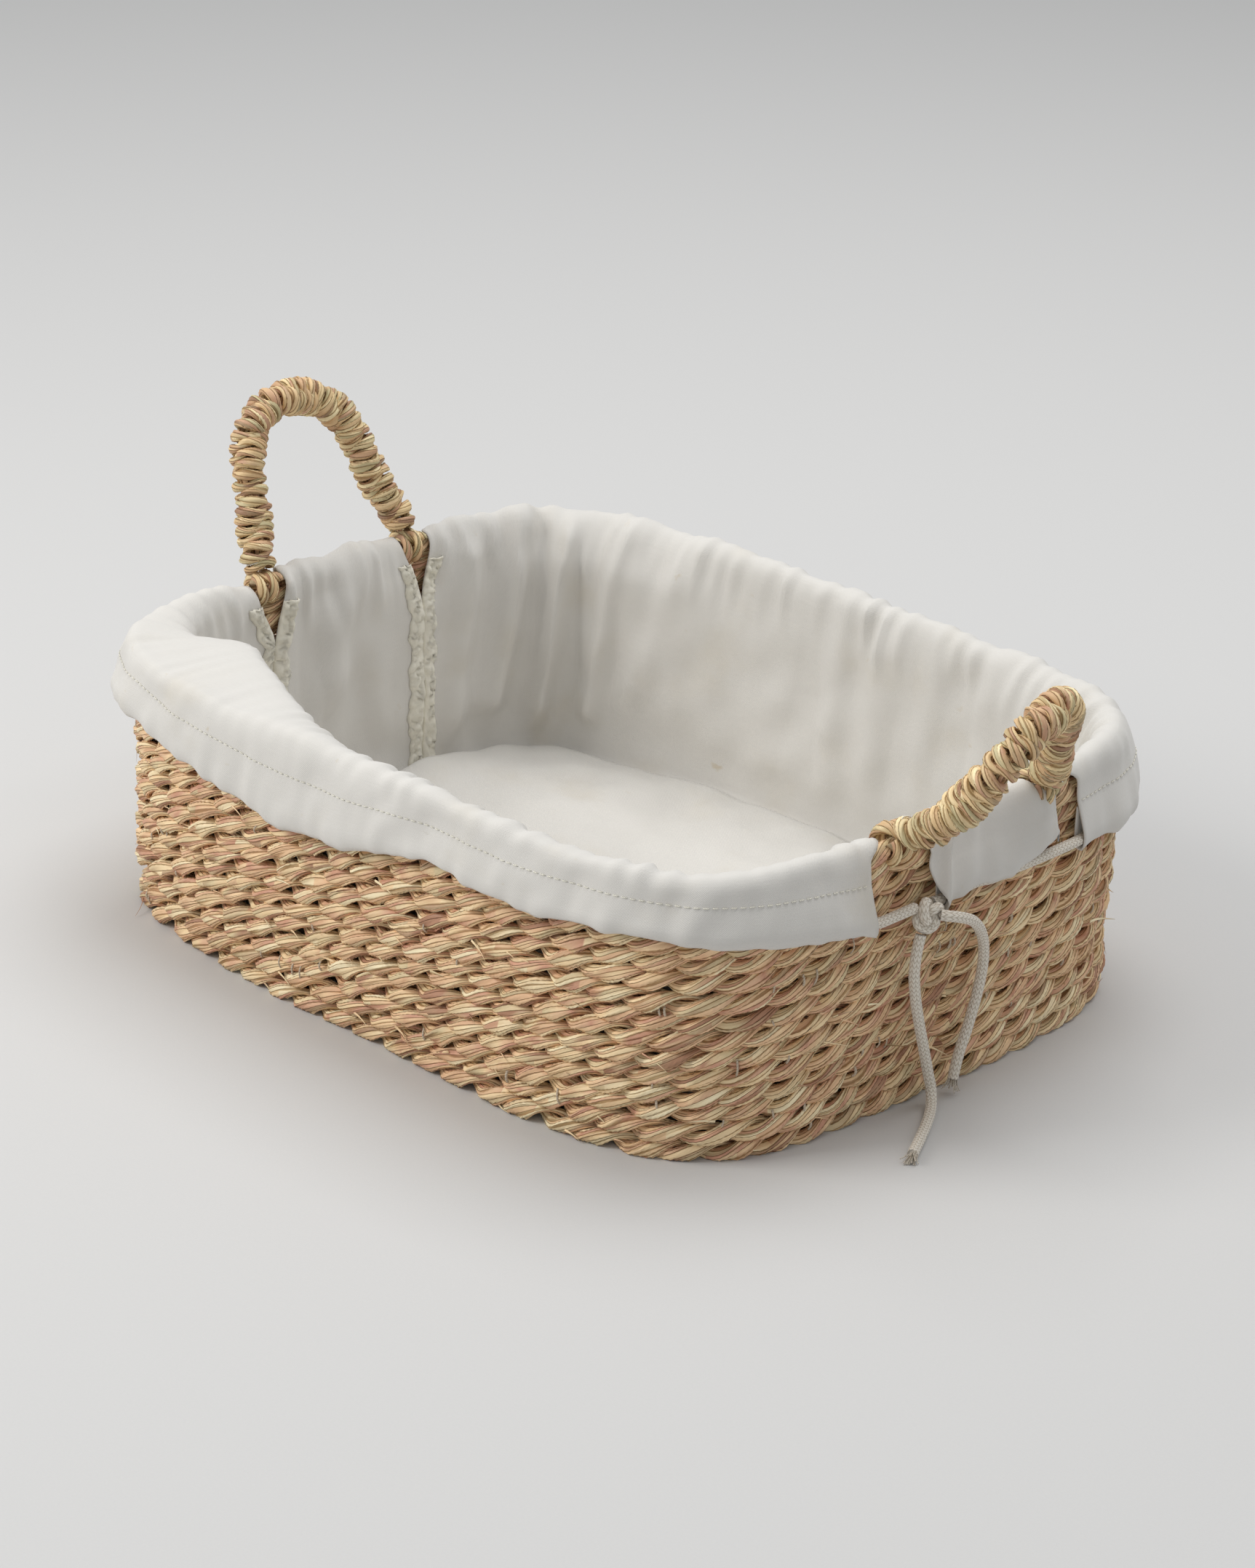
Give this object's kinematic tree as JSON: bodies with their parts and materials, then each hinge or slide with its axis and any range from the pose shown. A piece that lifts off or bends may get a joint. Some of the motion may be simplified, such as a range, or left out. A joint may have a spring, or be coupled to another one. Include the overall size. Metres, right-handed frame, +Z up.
{
  "type": "lined bread basket",
  "caption": "Rounded rectangular coiled grass rope basket with two hinging rope handles, a cotton liner folded over the rim and a drawcord tied at one end.",
  "frame": {"origin": "middle of the base, on the surface that the basket stands on", "axes": "+X along the long sides towards the end with the tied drawcord, +Y along the short ends, +Z up"},
  "size_m": [0.4838, 0.3376, 0.2066],
  "materials": {
    "grass_rope": "matte twisted dry grass blades, straw yellow to reddish brown",
    "handle_wrap": "matte two-strand twisted dry grass cord",
    "handle_core": "bundled dry grass",
    "liner_cotton": "washed off-white cotton twill",
    "hem_tape": "turned and stitched cotton hem, slightly yellow",
    "drawcord_cotton": "knitted natural cotton cord",
    "sewing_thread": "plain cotton sewing thread"
  },
  "bodies": {
    "basket": {"base_coil": "grass_rope", "wall_row_01": "grass_rope", "wall_row_02": "grass_rope", "wall_row_03": "grass_rope", "wall_row_04": "grass_rope", "wall_row_05": "grass_rope", "wall_row_06": "grass_rope", "wall_row_07": "grass_rope", "wall_row_08": "grass_rope", "wall_row_09": "grass_rope", "wall_row_10": "grass_rope", "wall_row_11": "grass_rope", "wall_row_12": "grass_rope", "wall_row_13": "grass_rope", "wall_row_14": "grass_rope", "wall_row_15": "grass_rope", "liner_floor": "liner_cotton", "liner_side_front": "liner_cotton", "liner_side_back": "liner_cotton", "liner_end_left": "liner_cotton", "liner_end_right": "liner_cotton", "slit_facing_left_near": "hem_tape", "slit_facing_left_far": "hem_tape", "slit_facing_right_near": "hem_tape", "slit_facing_right_far": "hem_tape", "drawcord_hem_run": "drawcord_cotton", "drawcord_knot": "drawcord_cotton", "drawcord_tail_near": "drawcord_cotton", "drawcord_tail_far": "drawcord_cotton"},
    "handle_left": {"handle_left_core": "handle_core", "handle_left_wrap": "handle_wrap", "handle_left_near_saddle": "handle_wrap", "handle_left_near_lashing": "sewing_thread", "handle_left_far_saddle": "handle_wrap", "handle_left_far_lashing": "sewing_thread"},
    "handle_right": {"handle_right_core": "handle_core", "handle_right_wrap": "handle_wrap", "handle_right_near_saddle": "handle_wrap", "handle_right_near_lashing": "sewing_thread", "handle_right_far_saddle": "handle_wrap", "handle_right_far_lashing": "sewing_thread"}
  },
  "joints": [
    {"name": "handle_left_hinge", "type": "hinge", "parent": "basket", "child": "handle_left", "pos_m": [-0.19695, 0, 0.12165], "axis": [0, -1, 0], "range_deg": [-45, 45]},
    {"name": "handle_right_hinge", "type": "hinge", "parent": "basket", "child": "handle_right", "pos_m": [0.19695, 0, 0.12165], "axis": [0, 1, 0], "range_deg": [-62, 28]}
  ]
}
